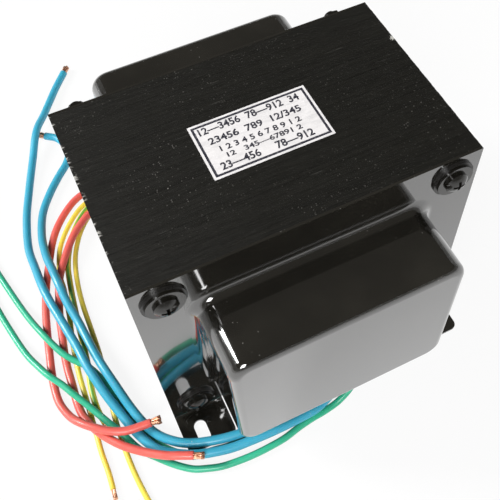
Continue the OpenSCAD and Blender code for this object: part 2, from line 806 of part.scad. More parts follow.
// A lead's sleeve: one ring of points round each point of its route
module lead(points, d) {
    side = sideways(points);
    rings = [for (i = [0:len(points) - 1], k = [0:lead_sides - 1])
        let (a = 360 * k / lead_sides, h = heading(points, i))
        points[i] + d / 2 * (cos(a) * side[i] + sin(a) * cross(h, side[i]))];
    walls = [for (i = [0:len(points) - 2], k = [0:lead_sides - 1], half = [0, 1])
        let (a = i * lead_sides + k, b = i * lead_sides + (k + 1) % lead_sides)
        half == 0 ? [a, a + lead_sides, b + lead_sides] : [a, b + lead_sides, b]];
    last = (len(points) - 1) * lead_sides;
    ends = [for (k = [1:lead_sides - 2], cap = [0, 1])
        cap == 0 ? [0, k, k + 1] : [last, last + k + 1, last + k]];
    polyhedron(rings, concat(walls, ends));
}

// The bared conductor at the far end of a lead
module bare_tip(points, d) {
    h = heading(points, len(points) - 1);
    translate(points[len(points) - 1])
        rotate([0, acos(h.z), atan2(h.y, h.x)])
            cylinder(d = d * conductor_share, h = bare_l);
}

module blue_lead_a() {
    color([0.20, 0.60, 0.75])
        lead(blue_a_route, blue_d);
}

module blue_lead_b() {
    color([0.20, 0.60, 0.75])
        lead(blue_b_route, blue_d);
}

module green_lead_a() {
    color([0.20, 0.70, 0.45])
        lead(green_a_route, green_d);
}

module green_lead_b() {
    color([0.20, 0.70, 0.45])
        lead(green_b_route, green_d);
}

module red_lead_a() {
    color([0.85, 0.30, 0.30])
        lead(red_a_route, red_d);
}

module red_lead_b() {
    color([0.85, 0.30, 0.30])
        lead(red_b_route, red_d);
}

module yellow_lead_a() {
    color([0.95, 0.88, 0.35])
        lead(yellow_a_route, yellow_d);
}

module yellow_lead_b() {
    color([0.95, 0.88, 0.35])
        lead(yellow_b_route, yellow_d);
}

module earth_lead() {
    color([0.60, 0.75, 0.20])
        lead(earth_route, earth_d);
}

module bare_tips() {
    color([0.80, 0.48, 0.30]) {
        bare_tip(blue_a_route, blue_d);
        bare_tip(blue_b_route, blue_d);
        bare_tip(green_a_route, green_d);
        bare_tip(green_b_route, green_d);
        bare_tip(red_a_route, red_d);
        bare_tip(red_b_route, red_d);
        bare_tip(yellow_a_route, yellow_d);
        bare_tip(yellow_b_route, yellow_d);
        bare_tip(earth_route, earth_d);
    }
}

front_cover();
rear_cover();
e_lamination_packets();
i_lamination_packets();
bobbin();
primary_winding();
screen_foil();
auxiliary_winding();
secondary_winding_a();
secondary_winding_b();
layer_insulation();
outer_wrap();
clamp_bolts();
bolt_sleeves();
fibre_washers();
flat_washers();
spring_washers();
hex_nuts();
front_grommet();
rear_grommet();
rating_label();
blue_lead_a();
blue_lead_b();
green_lead_a();
green_lead_b();
red_lead_a();
red_lead_b();
yellow_lead_a();
yellow_lead_b();
earth_lead();
bare_tips();
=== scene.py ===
"""Looks of a laminated chassis transformer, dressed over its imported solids.

Everything is in metres in the solids' own frame: +X right, +Y to the rear, +Z up,
with the origin on the plane of the feet. Sizes are written in millimetres, as on a
drawing, and turned into metres where a mesh is made.
"""

import logging
import math
import random
from collections.abc import Sequence
from dataclasses import dataclass, field
from enum import Enum

import bpy
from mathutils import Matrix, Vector

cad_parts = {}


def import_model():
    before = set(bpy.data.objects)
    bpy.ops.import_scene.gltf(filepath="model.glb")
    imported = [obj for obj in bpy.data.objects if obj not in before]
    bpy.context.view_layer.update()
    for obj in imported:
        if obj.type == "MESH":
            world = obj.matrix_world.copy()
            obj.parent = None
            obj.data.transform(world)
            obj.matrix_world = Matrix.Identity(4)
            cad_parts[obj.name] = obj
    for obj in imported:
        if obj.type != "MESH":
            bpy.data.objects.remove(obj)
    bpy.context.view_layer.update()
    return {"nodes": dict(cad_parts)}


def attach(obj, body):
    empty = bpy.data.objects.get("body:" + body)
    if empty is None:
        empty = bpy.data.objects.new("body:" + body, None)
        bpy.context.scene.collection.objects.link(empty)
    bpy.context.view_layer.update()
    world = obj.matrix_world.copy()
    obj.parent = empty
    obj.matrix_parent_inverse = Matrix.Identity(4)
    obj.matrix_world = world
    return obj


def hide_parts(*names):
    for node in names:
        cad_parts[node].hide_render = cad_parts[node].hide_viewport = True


MM = 0.001
GOLDEN_ANGLE = 2.39996
WHITE = (1.0, 1.0, 1.0)
log = logging.getLogger("transformer")

Colour = tuple[float, float, float]
Point = tuple[float, float, float]
Place = tuple[float, float]
Socket = bpy.types.NodeSocket


class Outlet(Enum):
    """The two grommets, by the middle of their bore in mm."""

    FRONT = (12.0, -57.0)
    REAR = (-12.0, 54.0)


class LeadColour(Enum):
    """The colours of the leads, by the name of their slot and of their material."""

    BLUE = "pvc_blue"
    GREEN = "pvc_green"
    RED = "pvc_red"
    YELLOW = "pvc_yellow"
    EARTH = "pvc_yellow_green"


@dataclass(frozen=True)
class Core:
    """Main sizes of the core and its covers, in mm."""

    width: float = 133.2
    unit: float = 22.2
    bottom: float = 1.0
    top: float = 112.0
    stack: float = 83.0
    middle_y: float = -1.5
    packets: int = 20
    winding_bottom: float = 26.0
    outlet_z: float = 19.3
    outlet_top: float = 20.0

    @property
    def front(self) -> float:
        """The core's front face, along Y."""
        return self.middle_y - self.stack / 2


CORE = Core()


# ---------------------------------------------------------------- mesh helpers


def put(made: bpy.types.Object) -> bpy.types.Object:
    """Puts an object in the scene, and gives it back."""
    bpy.context.scene.collection.objects.link(made)
    return made


class MeshMaker:
    """Collects vertices, faces and texture places, and makes one object of them."""

    def __init__(self, name: str) -> None:
        """Starts with nothing collected.

        Args:
            name: The object's name.
        """
        self.name = name
        self.points: list[Vector] = []
        self.faces: list[list[int]] = []
        self.places: list[list[Place]] = []
        self.slots: list[int] = []
        self.flat: set[int] = set()

    def point(self, x: float, y: float, z: float) -> int:
        """Adds a vertex by its place in mm, and gives its number."""
        self.points.append(Vector((x, y, z)) * MM)
        return len(self.points) - 1

    def ring(self, middle: Vector, side: Vector, up: Vector, radius: float, sides: int) -> list[int]:
        """Adds a ring of vertices that lies across side and up, in mm, and gives their numbers."""
        return [self.point(*(middle + radius * (math.cos(a) * side + math.sin(a) * up)))
                for a in (2 * math.pi * k / sides for k in range(sides))]

    def face(
        self,
        corners: Sequence[int],
        places: Sequence[Place] | None = None,
        slot: int = 0,
        flat: bool = False,
    ) -> None:
        """Adds a face.

        Args:
            corners: Its vertices, anticlockwise from outside.
            places: Texture places of its corners, or None.
            slot: The material slot that it uses.
            flat: Whether it is shaded flat.
        """
        if flat:
            self.flat.add(len(self.faces))
        self.faces.append(list(corners))
        self.places.append(list(places or [(0.0, 0.0)] * len(corners)))
        self.slots.append(slot)

    def box(self, low: Point, high: Point) -> None:
        """Adds a plain box in the first slot, by its lowest and highest corners in mm."""
        n = [self.point(x, y, z) for z in (low[2], high[2]) for y in (low[1], high[1])
             for x in (low[0], high[0])]
        for quad in ((0, 2, 3, 1), (4, 5, 7, 6), (0, 1, 5, 4), (2, 6, 7, 3), (0, 4, 6, 2), (1, 3, 7, 5)):
            self.face([n[i] for i in quad], flat=True)

    def build(self, materials: Sequence[bpy.types.Material]) -> bpy.types.Object:
        """Makes the object.

        Args:
            materials: Its materials, by slot.

        Returns:
            The new object, put in the scene.
        """
        mesh = bpy.data.meshes.new(self.name)
        mesh.from_pydata([tuple(p) for p in self.points], [], self.faces)
        for material in materials:
            mesh.materials.append(material)
        layer = mesh.uv_layers.new(name="Place")
        loop = 0
        for i, polygon in enumerate(mesh.polygons):
            polygon.material_index = self.slots[i]
            polygon.use_smooth = i not in self.flat
            for place in self.places[i]:
                layer.data[loop].uv = place
                loop += 1
        mesh.validate()
        mesh.update()
        return put(bpy.data.objects.new(self.name, mesh))


def catmull_rom(points: Sequence[Vector], spacing: float) -> list[Vector]:
    """Runs a smooth line through points.

    Args:
        points: The points to pass through.
        spacing: About how far apart the line's own points are.

    Returns:
        The line's points, the first and last of points among them.
    """
    line: list[Vector] = []
    for i in range(len(points) - 1):
        p1, p2 = points[i], points[i + 1]
        p0 = points[i - 1] if i else p1 * 2 - p2
        p3 = points[i + 2] if i + 2 < len(points) else p2 * 2 - p1
        steps = max(2, round((p2 - p1).length / spacing))
        for s in range(steps):
            t = s / steps
            line.append(0.5 * (2 * p1 + (p2 - p0) * t + (2 * p0 - 5 * p1 + 4 * p2 - p3) * t * t
                               + (3 * p1 - p0 - 3 * p2 + p3) * t ** 3))
    line.append(points[-1].copy())
    return line


def frames_along(line: Sequence[Vector]) -> list[tuple[Vector, Vector, Vector]]:
    """Carries a square frame along a line without twist.

    Args:
        line: The line's points.

    Returns:
        For each point, which way the line runs there and two directions square to it.
    """
    frames = []
    side = Vector((1, 0, 0))
    for i in range(len(line)):
        before, after = line[max(i - 1, 0)], line[min(i + 1, len(line) - 1)]
        ahead = (after - before).normalized()
        side = (side - ahead * side.dot(ahead)).normalized()
        frames.append((ahead, side, ahead.cross(side)))
    return frames


def length_of(line: Sequence[Vector]) -> float:
    """Measures a line, in its points' own unit."""
    return sum((b - a).length for a, b in zip(line, line[1:]))


def sweep(
    maker: MeshMaker,
    line: Sequence[Vector],
    radius: float,
    sides: int,
    close_end: bool = True,
) -> None:
    """Adds a tube along a line, closed at its first end.

    Args:
        maker: Takes the tube's faces.
        line: The tube's centre line, in mm.
        radius: Its radius, in mm.
        sides: How many sides it has.
        close_end: Whether its last end is closed too.
    """
    rings = [maker.ring(here, side, up, radius, sides)
             for here, (_, side, up) in zip(line, frames_along(line))]
    along = [0.0]
    for a, b in zip(line, line[1:]):
        along.append(along[-1] + (b - a).length)
    for i in range(len(rings) - 1):
        for k in range(sides):
            n = (k + 1) % sides
            maker.face(
                [rings[i][k], rings[i][n], rings[i + 1][n], rings[i + 1][k]],
                [(along[i] * MM, k / sides), (along[i] * MM, (k + 1) / sides),
                 (along[i + 1] * MM, (k + 1) / sides), (along[i + 1] * MM, k / sides)])
    maker.face(rings[0][::-1], flat=True)
    if close_end:
        maker.face(rings[-1], flat=True)


# ------------------------------------------------------------ material helpers


def shade(colour: Colour, by: float) -> Colour:
    """Makes a colour darker or lighter by a factor, up to full white."""
    return tuple(min(1.0, c * by) for c in colour)


class Graph:
    """A material's nodes, with short calls for those used here. Scales count features to a metre."""

    def __init__(self, name: str) -> None:
        """Starts a material that has its output alone.

        Args:
            name: The material's name.
        """
        self.material = bpy.data.materials.new(name)
        self.material.use_nodes = True
        self.nodes = self.material.node_tree.nodes
        self.links = self.material.node_tree.links
        self.nodes.clear()
        self.output = self.nodes.new("ShaderNodeOutputMaterial")

    def add(self, kind: str, inputs: dict[str | int, object] | None = None,
            **settings: object) -> bpy.types.Node:
        """Adds a node.

        Args:
            kind: The node's type.
            inputs: Its inputs by name or number, each a value or an output to link.
            **settings: Its own properties.

        Returns:
            The new node.
        """
        node = self.nodes.new(kind)
        for key, value in settings.items():
            setattr(node, key, value)
        for key, value in (inputs or {}).items():
            socket = node.inputs[key]
            if isinstance(value, Socket):
                self.links.new(value, socket)
            elif socket.type == "RGBA":
                socket.default_value = (*value, 1.0)
            else:
                socket.default_value = value
        return node

    def here(self) -> Socket:
        """Gives the place on the object, in metres."""
        return self.add("ShaderNodeTexCoord").outputs["Object"]

    def place(self, stretch: Point = (1, 1, 1)) -> Socket:
        """Gives the place on the object in metres, times a stretch along each axis."""
        return self.add("ShaderNodeMapping", {"Vector": self.here(), "Scale": stretch}).outputs["Vector"]

    def noise(self, scale: float, detail: float = 3.0, rough: float = 0.5,
              vector: Socket | None = None) -> Socket:
        """Adds a noise from 0 to 1, read at vector or else at the place on the object."""
        inputs = {"Vector": vector or self.place(), "Scale": scale, "Detail": detail, "Roughness": rough}
        return self.add("ShaderNodeTexNoise", inputs).outputs["Fac"]

    def grain(self, stretch: Point, detail: float, rough: float) -> Socket:
        """Adds a noise from 0 to 1 with a scale of its own along each axis."""
        return self.noise(1.0, detail, rough, self.place(stretch))

    def range(self, value: Socket, low: float, high: float,
              to_low: float = 0.0, to_high: float = 1.0) -> Socket:
        """Moves a value from the range of low and high to another, and holds it inside."""
        inputs = {"Value": value, "From Min": low, "From Max": high, "To Min": to_low, "To Max": to_high}
        return self.add("ShaderNodeMapRange", inputs).outputs["Result"]

    def math(self, operation: str, *values: object) -> Socket:
        """Adds a sum of one or two values or outputs, with the sum as Blender names it."""
        return self.add("ShaderNodeMath", dict(enumerate(values)), operation=operation).outputs[0]

    def times(self, a: object, b: object) -> Socket:
        """Multiplies two values or outputs."""
        return self.math("MULTIPLY", a, b)

    def plus(self, a: object, b: object) -> Socket:
        """Adds two values or outputs up."""
        return self.math("ADD", a, b)

    def most(self, a: object, b: object) -> Socket:
        """Gives the larger of two values or outputs."""
        return self.math("MAXIMUM", a, b)

    def blend(self, share: object, a: object, b: object) -> Socket:
        """Mixes two colours, where share is how much of the second there is."""
        return self.add("ShaderNodeMix", {0: share, 6: a, 7: b}, data_type="RGBA").outputs[2]

    def bump(self, height: Socket, distance: float, strength: float) -> Socket:
        """Turns a height from 0 to 1 into a bump, where 1 stands distance high in metres."""
        inputs = {"Height": height, "Distance": distance, "Strength": strength}
        return self.add("ShaderNodeBump", inputs).outputs["Normal"]

    def specks(self, scale: float, size: float, share: float) -> Socket:
        """Scatters small round specks.

        Args:
            scale: How many cells there are to a metre.
            size: A speck's radius as a share of its cell.
            share: The share of the cells that have a speck.

        Returns:
            An output that is 1 on a speck.
        """
        cells = self.add("ShaderNodeTexVoronoi", {"Vector": self.place(), "Scale": scale})
        spot = self.range(cells.outputs["Distance"], size, size * 0.5)
        chosen = self.add("ShaderNodeSeparateColor", {"Color": cells.outputs["Color"]}).outputs[0]
        return self.times(spot, self.math("LESS_THAN", chosen, share))

    def close(self, shader: Socket) -> bpy.types.Material:
        """Ends the graph with a shader's output, and gives the material."""
        self.links.new(shader, self.output.inputs["Surface"])
        return self.material

    def finish(self, **inputs: object) -> bpy.types.Material:
        """Ends the graph with a Principled shader, whose inputs have _ for a space in their names."""
        named = {name.replace("_", " "): value for name, value in inputs.items()}
        return self.close(self.add("ShaderNodeBsdfPrincipled", named).outputs[0])


@dataclass(frozen=True)
class Enamel:
    """Gloss black enamel on steel, with a faint ripple and settled dust."""

    name: str = "gloss_enamel"
    colour: Colour = (0.0085, 0.0078, 0.0062)
    dust: Colour = (0.30, 0.29, 0.27)
    roughness: float = 0.055
    ripple: float = 0.000008
    dust_share: float = 0.10
    ior: float = 2.0
    coat: float = 1.0
    cloud_by: float = 1.6

    def build(self) -> bpy.types.Material:
        """Makes the material.

        Returns:
            The new material.
        """
        g = Graph(self.name)
        dusty = g.range(g.noise(30.0, 2.0), 0.42, 0.62)
        dust = g.times(g.specks(640.0, 0.13, self.dust_share), dusty)
        cloud = g.range(g.noise(60.0, 4.0), 0.4, 0.7)
        colour = g.blend(cloud, self.colour, shade(self.colour, self.cloud_by))
        wiped = g.range(g.noise(35.0, 5.0), 0.35, 0.75, self.roughness, self.roughness * 2.2)
        return g.finish(
            Base_Color=g.blend(dust, colour, self.dust), Roughness=g.plus(wiped, g.times(dust, 0.5)),
            IOR=self.ior, Coat_Weight=self.coat, Coat_Roughness=0.02, Coat_IOR=1.5,
            Normal=g.bump(g.noise(240.0, 2.0), self.ripple, 0.25))


@dataclass(frozen=True)
class Varnish:
    """Semi-matte black varnish over the cut edges of a stack of sheets.

    It is worn along the left top rim, from rim_inward and rim_down to the very edge, and
    has one chip. Their sizes are in mm.
    """

    name: str = "core_varnish"
    dark: Colour = (0.0036, 0.0034, 0.0025)
    light: Colour = (0.0088, 0.0083, 0.0062)
    bare: Colour = (0.46, 0.45, 0.42)
    dust: Colour = (0.26, 0.25, 0.23)
    rim_inward: tuple[float, float] = (1.4, 0.2)
    rim_down: tuple[float, float] = (1.0, 0.2)
    chip: Point = (66.2, 18.1, 111.8)
    chip_size: float = 1.3
    chip_rag: float = 0.5

    def worn(self, g: Graph) -> Socket:
        """Tells where the bare steel shows.

        Args:
            g: The material's nodes.

        Returns:
            An output that is 1 on the left top rim's worn places and on the chip, and
            a little in the long scratches.
        """
        here = g.here()
        across, _, up = g.add("ShaderNodeSeparateXYZ", {0: here}).outputs
        rim_x = [(inward - CORE.width / 2) * MM for inward in self.rim_inward]
        rim_z = [(CORE.top - down) * MM for down in self.rim_down]
        rim = g.times(g.range(across, *rim_x), g.range(up, *rim_z))
        crease_shade = g.range(g.grain((300.0, 620.0, 300.0), 3.0, 0.6), 0.55, 0.64)
        scratch = g.range(g.grain((60.0, 1900.0, 400.0), 2.0, 0.5), 0.72, 0.79)
        chip = tuple(c * MM for c in self.chip)
        size, rag = self.chip_size * MM, self.chip_rag * MM
        away = g.add("ShaderNodeVectorMath", {0: here, 1: chip}, operation="DISTANCE").outputs["Value"]
        ragged = g.plus(away, g.range(g.noise(1600.0, 2.0), 0.3, 0.7, -rag, rag))
        chipped = g.range(ragged, size, size * 0.7)
        return g.most(g.most(g.times(rim, crease_shade), g.times(scratch, 0.14)), chipped)

    def settled(self, g: Graph) -> Socket:
        """Tells where dust lies: lint and finer specks, in clumps.

        Args:
            g: The material's nodes.

        Returns:
            An output that is up to 1 on a speck.
        """
        lint = g.times(g.specks(330.0, 0.10, 0.09), g.range(g.noise(500.0, 2.0), 0.35, 0.6))
        fine = g.times(g.specks(1000.0, 0.24, 0.24), 0.55)
        return g.times(g.most(lint, fine), g.range(g.noise(38.0, 3.0), 0.40, 0.66))

    def build(self) -> bpy.types.Material:
        """Makes the material.

        Returns:
            The new material.
        """
        g = Graph(self.name)
        tone = g.add("ShaderNodeAttribute", attribute_name="tone").outputs["Fac"]
        streaks = g.grain((110.0, 2400.0, 110.0), 5.0, 0.7)
        mottle = g.noise(420.0, 4.0, 0.7)
        share = g.plus(g.plus(g.times(tone, 0.16), g.times(streaks, 0.50)), g.times(mottle, 0.34))
        colour = g.blend(g.range(share, 0.36, 0.70), self.dark, self.light)
        colour = g.blend(self.worn(g), colour, self.bare)
        height = g.plus(g.times(streaks, 0.5), g.times(g.noise(1400.0, 3.0), 0.5))
        return g.finish(
            Base_Color=g.blend(self.settled(g), colour, self.dust),
            Roughness=g.range(streaks, 0.3, 0.7, 0.42, 0.60), IOR=1.45,
            Normal=g.bump(height, 0.00005, 0.7))


@dataclass(frozen=True)
class Sleeve:
    """Glossy flexible PVC, plain or with stripes along the lead."""

    name: str
    colour: Colour
    stripe: Colour | None = None
    roughness: float = 0.36
    stripes: int = 2
    lint: Colour = (0.75, 0.74, 0.72)

    def build(self) -> bpy.types.Material:
        """Makes the material.

        Returns:
            The new material.
        """
        g = Graph(self.name)
        colour: object = self.colour
        place = g.add("ShaderNodeTexCoord").outputs["UV"]
        if self.stripe:
            around = g.add("ShaderNodeSeparateXYZ", {0: place}).outputs[1]
            wave = g.math("SINE", g.times(around, 2 * math.pi * self.stripes))
            colour = g.blend(g.range(wave, 0.52, 0.62), self.colour, self.stripe)
        drift = g.range(g.grain((45.0, 45.0, 45.0), 4.0, 0.5), 0.35, 0.75)
        colour = g.blend(g.times(drift, 0.45), colour, shade(self.colour, 0.72))
        colour = g.blend(g.specks(500.0, 0.12, 0.05), colour, self.lint)
        drawn = g.add("ShaderNodeMapping", {"Vector": place, "Scale": (120.0, 26.0, 1.0)}).outputs["Vector"]
        rough = g.range(g.noise(220.0, 3.0), 0.3, 0.7, self.roughness * 0.8, self.roughness * 1.5)
        return g.finish(
            Base_Color=colour, Roughness=rough, IOR=1.47, Coat_Weight=0.25, Coat_Roughness=0.18,
            Subsurface_Weight=0.12, Subsurface_Scale=0.001,
            Normal=g.bump(g.noise(1.0, 3.0, 0.5, drawn), 0.00006, 0.5))


@dataclass(frozen=True)
class Copper:
    """Bare or enamelled copper, its turns as a wave where it is wound, with painted shade between turns."""

    name: str
    colour: Colour = (0.86, 0.46, 0.30)
    tarnish_and_turn_shade: Colour = (0.42, 0.19, 0.11)
    roughness: float = 0.28
    turns: float = 0.0

    def build(self) -> bpy.types.Material:
        """Makes the material.

        Returns:
            The new material.
        """
        g = Graph(self.name)
        stain = g.range(g.noise(520.0, 4.0), 0.45, 0.72)
        colour = g.blend(stain, self.colour, self.tarnish_and_turn_shade)
        if self.turns:
            wave = {"Vector": g.place(), "Scale": self.turns, "Distortion": 0.3}
            height = g.add("ShaderNodeTexWave", wave, bands_direction="Z").outputs["Fac"]
            # Painted shade: the grooves between the turns take the darker colour, which also serves as random
            # tarnish.
            colour = g.blend(g.range(height, 0.0, 0.4, 0.6, 0.0), colour, self.tarnish_and_turn_shade)
        else:
            height = g.noise(2400.0, 2.0)
        rough = g.range(stain, 0.0, 1.0, self.roughness, self.roughness * 1.8)
        return g.finish(Base_Color=colour, Metallic=1.0, Roughness=rough, Normal=g.bump(height, 0.00015, 0.6))


@dataclass(frozen=True)
class Moulding:
    """A dull moulded or pressed material: nylon, rubber, fibre, board or film."""

    name: str
    colour: Colour
    roughness: float
    grain: float = 1500.0
    grain_height: float = 0.00003
    contrast: float = 0.25

    def build(self) -> bpy.types.Material:
        """Makes the material.

        Returns:
            The new material.
        """
        g = Graph(self.name)
        cloud = g.range(g.noise(90.0, 5.0, 0.6), 0.3, 0.7)
        dark, light = shade(self.colour, 1 - self.contrast), shade(self.colour, 1 + self.contrast)
        fine = g.noise(self.grain, 3.0, 0.6)
        rough = g.range(fine, 0.3, 0.7, self.roughness * 0.85, self.roughness * 1.15)
        return g.finish(Base_Color=g.blend(cloud, dark, light), Roughness=rough,
                        Normal=g.bump(fine, self.grain_height, 0.8))


@dataclass(frozen=True)
class Film:
    """White label film with a faint satin skin, clouded, and with painted shade along its creases."""

    name: str = "label_film"
    colour: Colour = (0.77, 0.75, 0.75)
    crease_shade: Colour = (0.52, 0.51, 0.52)

    def build(self) -> bpy.types.Material:
        """Makes the material.

        Returns:
            The new material.
        """
        g = Graph(self.name)
        cloud = g.range(g.noise(240.0, 5.0, 0.65), 0.3, 0.75)
        crease_shade_mask = g.range(g.grain((130.0, 520.0, 130.0), 4.0, 0.6), 0.48, 0.66)
        colour = g.blend(cloud, self.colour, shade(self.colour, 0.90))
        # Painted shade: streaks along the creases are greyed, as if they lay in shade.
        return g.finish(Base_Color=g.blend(g.times(crease_shade_mask, 0.4), colour, self.crease_shade),
                        Roughness=g.range(cloud, 0.0, 1.0, 0.42, 0.55),
                        Normal=g.bump(g.noise(900.0, 3.0), 0.00003, 0.6))


@dataclass(frozen=True)
class Ink:
    """Dark printing ink, a little worn."""

    name: str = "label_ink"
    colour: Colour = (0.018, 0.018, 0.028)
    worn: Colour = (0.16, 0.16, 0.18)

    def build(self) -> bpy.types.Material:
        """Makes the material.

        Returns:
            The new material.
        """
        g = Graph(self.name)
        wear = g.range(g.noise(1400.0, 4.0, 0.7), 0.50, 0.72)
        return g.finish(Base_Color=g.blend(wear, self.colour, self.worn),
                        Roughness=g.range(wear, 0.0, 1.0, 0.5, 0.7))


class Palette:
    """Every material of the part, made once."""

    SLEEVES = (
        (LeadColour.BLUE, (0.046, 0.375, 0.540), None),
        (LeadColour.GREEN, (0.035, 0.450, 0.260), None),
        (LeadColour.RED, (0.790, 0.130, 0.105), None),
        (LeadColour.YELLOW, (0.880, 0.690, 0.085), None),
        (LeadColour.EARTH, (0.800, 0.700, 0.060), (0.03, 0.32, 0.05)),
    )

    def __init__(self) -> None:
        """Makes the materials."""
        self.enamel = Enamel().build()
        self.fastener = Enamel("fastener_enamel", roughness=0.10, ripple=0.00004, dust_share=0.02,
                               ior=1.50, coat=0.30).build()
        self.varnish = Varnish().build()
        self.sleeves = {lead: Sleeve(lead.value, body, stripe).build() for lead, body, stripe in self.SLEEVES}
        self.strand = Copper("bare_copper").build()
        self.winding = Copper("enamelled_copper", (0.55, 0.20, 0.07), (0.20, 0.06, 0.02), 0.3, 160.0).build()
        self.foil = Copper("copper_foil", (0.88, 0.50, 0.32), (0.60, 0.30, 0.18), 0.22).build()
        self.nylon = Moulding("bobbin_nylon", (0.10, 0.075, 0.055), 0.45).build()
        self.film = Moulding("amber_film", (0.62, 0.42, 0.10), 0.25, 600.0).build()
        self.board = Moulding("pressed_board", (0.50, 0.34, 0.14), 0.8).build()
        self.fibre = Moulding("black_fibre", (0.016, 0.015, 0.014), 0.30).build()
        self.rubber = Moulding("grommet_rubber", (0.020, 0.020, 0.020), 0.62).build()
        self.label = Film().build()
        self.ink = Ink().build()


# ---------------------------------------------------------------------- pieces


@dataclass(frozen=True)
class Twist:
    """How a lead's bared strands lie, with lengths in mm and the turn in radians."""

    strands: int = 19
    bundle_share: float = 0.35
    wires_across: float = 3.1
    packing: float = 0.86
    bared: float = 4.6
    shortest: float = 0.88
    inside: float = 0.8
    turn: float = 0.8
    fray: float = 0.05
    flare: float = 6.0
    steps: int = 4
    sides: int = 7


@dataclass
class Lead:
    """One flexible lead: down from the windings, through its outlet and over the floor.

    CUT is its square end, as rings from the outside in: their share of the radius, how
    far back of the line's end they stand in mm, and whether the wall up to them is flat.
    """

    node: str
    colour: LeadColour
    outlet: Outlet
    diameter: float
    length: float
    offset: Place
    laid: list[Point]
    twist: Twist = Twist()
    spacing: float = 1.6
    sides: int = 20
    line: list[Vector] = field(init=False)

    CUT = ((0.97, -0.12, False), (0.78, -0.12, True), (0.75, 0.0, True), (0.75, 0.9, True))

    def __post_init__(self) -> None:
        """Runs the lead's middle line through its points."""
        down = [Vector((*self.bore, CORE.winding_bottom)), Vector((*self.bore, CORE.outlet_top))]
        self.line = catmull_rom(down + [Vector(p) for p in self.laid], self.spacing)

    @property
    def bore(self) -> Place:
        """Where the lead passes its outlet, along X and Y in mm."""
        return self.outlet.value[0] + self.offset[0], self.outlet.value[1] + self.offset[1]

    def mesh(self, sleeve: bpy.types.Material) -> bpy.types.Object:
        """Makes the sleeve, whose far end is cut square and shows its bore.

        Args:
            sleeve: Its material.

        Returns:
            The new object.
        """
        maker = MeshMaker(self.node + "_sleeve")
        radius = self.diameter / 2
        sweep(maker, self.line, radius, self.sides, close_end=False)
        ahead, side, up = frames_along(self.line)[-1]
        rim = list(range(len(maker.points) - self.sides, len(maker.points)))
        for share, back, flat in self.CUT:
            ring = maker.ring(self.line[-1] - ahead * back, side, up, radius * share, self.sides)
            for k in range(self.sides):
                n = (k + 1) % self.sides
                maker.face([rim[k], rim[n], ring[n], ring[k]], flat=flat)
            rim = ring
        maker.face(rim, flat=True)
        return maker.build([sleeve])

    def tip(self, copper: bpy.types.Material) -> bpy.types.Object:
        """Makes the bared conductor, a twist of fine strands that start inside the sleeve.

        Args:
            copper: Its material.

        Returns:
            The new object.
        """
        maker = MeshMaker(self.node + "_strands")
        ahead, side, up = frames_along(self.line)[-1]
        chance = random.Random(self.node)
        twist = self.twist
        bundle = self.diameter * twist.bundle_share
        for i in range(twist.strands):
            reach = bundle * twist.packing * math.sqrt((i + 0.5) / twist.strands) if i else 0.0
            bared = twist.bared * chance.uniform(twist.shortest, 1.0)
            points = []
            for step in range(twist.steps + 1):
                t = step / twist.steps
                spread = reach * (1 + twist.fray * twist.flare * t * t * chance.uniform(0.4, 1.0))
                angle = i * GOLDEN_ANGLE + twist.turn * t
                points.append(self.line[-1] + ahead * (-twist.inside + (bared + twist.inside) * t)
                              + side * math.cos(angle) * spread + up * math.sin(angle) * spread)
            sweep(maker, points, bundle / twist.wires_across, twist.sides)
        return maker.build([copper])

    def dress(self, sleeve: bpy.types.Material, copper: bpy.types.Material) -> int:
        """Makes the lead's pieces, hides its solid and the bare tips, and hangs the pieces on the root body.

        Args:
            sleeve: The sleeve's material.
            copper: The conductor's material.

        Returns:
            How many pieces were made.
        """
        tube, tip = self.mesh(sleeve), self.tip(copper)
        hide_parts(self.node)
        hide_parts("bare_tips")
        for made in (tube, tip):
            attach(made, "root")
        log.info("%s: %.1f mm along its middle, %d points", tube.name, length_of(self.line), len(self.line))
        return 2


